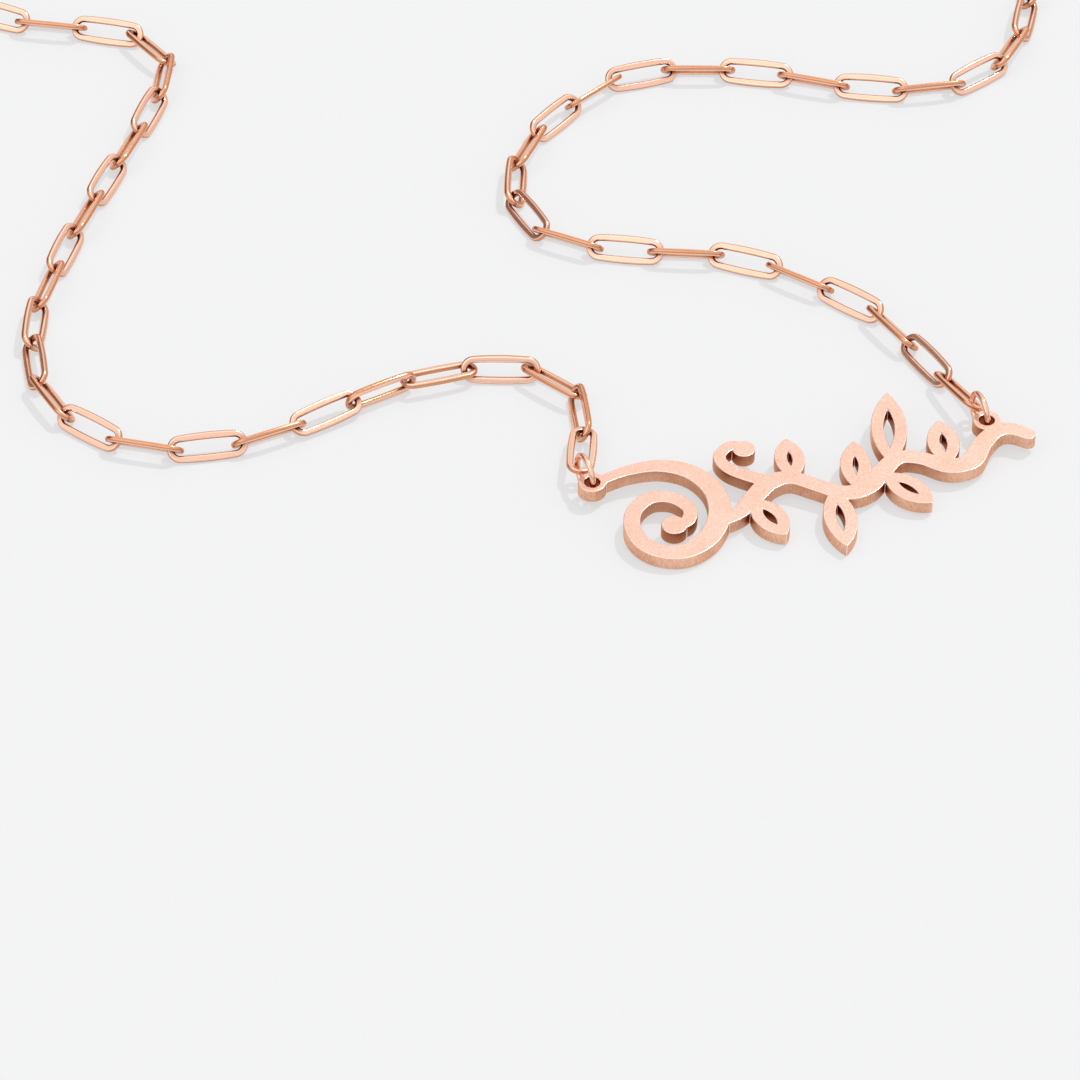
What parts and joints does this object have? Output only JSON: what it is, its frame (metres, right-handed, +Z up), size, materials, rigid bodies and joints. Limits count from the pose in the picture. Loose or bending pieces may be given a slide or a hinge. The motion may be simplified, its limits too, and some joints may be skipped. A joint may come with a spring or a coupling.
{
  "type": "nameplate necklace",
  "caption": "Fastened necklace lying flat: a pierced scrolling ornament plate held by round jump rings at both ends, with a chain of long flattened links and a plain clasp at the back.",
  "frame": {"origin": "on the table, at the middle of the necklace's bounding box", "axes": "+Z up from the table; +Y away from the viewer, from the plate towards the clasp at the back of the loop; +X to the viewer's right"},
  "size_m": [0.1044, 0.1236, 0.0036],
  "materials": {
    "plate": "rose gold plated, satin",
    "wire": "rose gold plated, polished",
    "links": "rose gold plated, polished",
    "fastener": "rose gold plated, polished"
  },
  "bodies": {
    "root": {"nameplate": "plate", "jump_ring_left": "wire", "jump_ring_right": "wire", "chain_left": "links", "chain_right": "links", "clasp_ring": "wire", "clasp": "fastener", "end_ring": "wire"}
  },
  "joints": []
}
